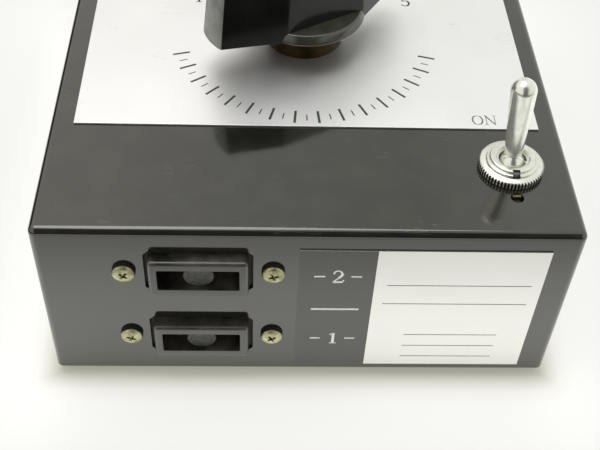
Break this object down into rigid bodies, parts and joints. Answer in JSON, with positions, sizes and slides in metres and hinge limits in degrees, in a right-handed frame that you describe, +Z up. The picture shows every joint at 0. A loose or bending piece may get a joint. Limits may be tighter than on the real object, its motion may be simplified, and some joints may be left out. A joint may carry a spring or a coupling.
{
  "type": "tapped autotransformer",
  "caption": "Bench voltage adjuster: a steel-cased tapped autotransformer with a pointer-knob tap switch, an on/off toggle and two-blade outlets on the front.",
  "frame": {"origin": "centre of the overall box's base, on the surface that the rubber feet stand on", "axes": "+X to the right seen from the front, +Y from the front face to the back, +Z up"},
  "size_m": [0.14, 0.174, 0.093],
  "materials": {
    "case_paint": "gloss black stove enamel",
    "cover_paint": "satin black enamel",
    "foot_rubber": "matt black rubber",
    "grommet_rubber": "satin black rubber",
    "dial_silver": "mirror-bright silver sheet with printed dial",
    "front_plate_print": "satin silver sheet with a black printed panel",
    "outlet_plastic": "moulded black phenolic",
    "zinc_steel": "yellowish zinc plating",
    "plated_steel": "bright plated",
    "frame_steel": "zinc plated sheet",
    "shaft_steel": "turned steel",
    "contact_brass": "stamped brass",
    "fitting_brass": "turned brass",
    "nut_brass": "tarnished turned brass",
    "knob_bakelite": "polished black bakelite",
    "phenolic_brown": "phenolic paper sheet",
    "toggle_bakelite": "moulded brown phenolic",
    "chrome_plate": "bright chrome",
    "core_steel": "varnished laminations",
    "bobbin_nylon": "moulded nylon",
    "winding_copper": "enamelled copper wire",
    "coil_tape": "amber coil tape",
    "fuse_plastic": "moulded black phenolic",
    "fuse_glass": "clear glass tube",
    "lead_orange": "insulated lead",
    "lead_blue": "insulated lead"
  },
  "bodies": {
    "case": {"case_shell": "case_paint", "bottom_cover": "cover_paint", "cover_screws": "plated_steel", "rubber_feet": "foot_rubber", "dial_plate": "dial_silver", "front_plate": "front_plate_print", "outlet_body_upper": "outlet_plastic", "outlet_body_lower": "outlet_plastic", "outlet_contacts_upper": "contact_brass", "outlet_contacts_lower": "contact_brass", "outlet_screws": "zinc_steel", "outlet_nuts": "zinc_steel", "round_nut": "nut_brass", "lock_washer": "plated_steel", "switch_bushing": "fitting_brass", "detent_housing": "frame_steel", "detent_ball": "plated_steel", "detent_spring": "plated_steel", "switch_wafer": "phenolic_brown", "tap_contacts": "contact_brass", "wafer_spacers": "fitting_brass", "tie_screws": "plated_steel", "toggle_dress_nut": "chrome_plate", "toggle_washer": "fitting_brass", "toggle_back_nut": "plated_steel", "toggle_bushing": "chrome_plate", "toggle_frame": "frame_steel", "toggle_housing": "toggle_bakelite", "toggle_terminals": "contact_brass", "toggle_pin": "plated_steel", "core_e_stack": "core_steel", "core_i_stack": "core_steel", "bobbin": "bobbin_nylon", "winding": "winding_copper", "coil_wrap": "coil_tape", "core_bolts": "plated_steel", "core_nuts": "plated_steel", "core_spacers": "plated_steel", "terminal_strip": "phenolic_brown", "strip_feet": "plated_steel", "strip_lugs": "contact_brass", "strip_screws": "plated_steel", "cord_grommet": "grommet_rubber", "fuse_body": "fuse_plastic", "fuse_nut": "fuse_plastic", "fuse_terminals": "contact_brass", "tap_leads": "lead_orange", "supply_leads": "lead_blue"},
    "knob": {"knob": "knob_bakelite", "knob_insert": "fitting_brass", "knob_set_screw": "plated_steel", "switch_shaft": "shaft_steel", "detent_star": "plated_steel", "rotor": "phenolic_brown", "wiper": "contact_brass", "shaft_clip": "plated_steel"},
    "toggle_lever": {"toggle_lever": "chrome_plate"},
    "toggle_rocker": {"toggle_rocker": "contact_brass"},
    "fuse_carrier": {"fuse_cap": "fuse_plastic", "fuse": "fuse_glass"}
  },
  "joints": [
    {"name": "knob_turn", "type": "hinge", "parent": "case", "child": "knob", "pos_m": [0, -0.0032, 0.06], "axis": [0, 0, 1], "range_deg": [0, 120]},
    {"name": "toggle_throw", "type": "hinge", "parent": "case", "child": "toggle_lever", "pos_m": [0.0537, -0.0589, 0.0615], "axis": [1, 0, 0], "range_deg": [0, 26]},
    {"name": "rocker_tilt", "type": "hinge", "parent": "case", "child": "toggle_rocker", "pos_m": [0.0537, -0.0589, 0.0438], "axis": [1, 0, 0], "range_deg": [-26, 0]},
    {"name": "fuse_cap_turn", "type": "hinge", "parent": "case", "child": "fuse_carrier", "pos_m": [0.051, 0.0765, 0.033], "axis": [0, 1, 0], "range_deg": [0, 45]}
  ],
  "couplings": [
    {"joint": "rocker_tilt", "follows": "toggle_throw", "ratio": -1}
  ]
}
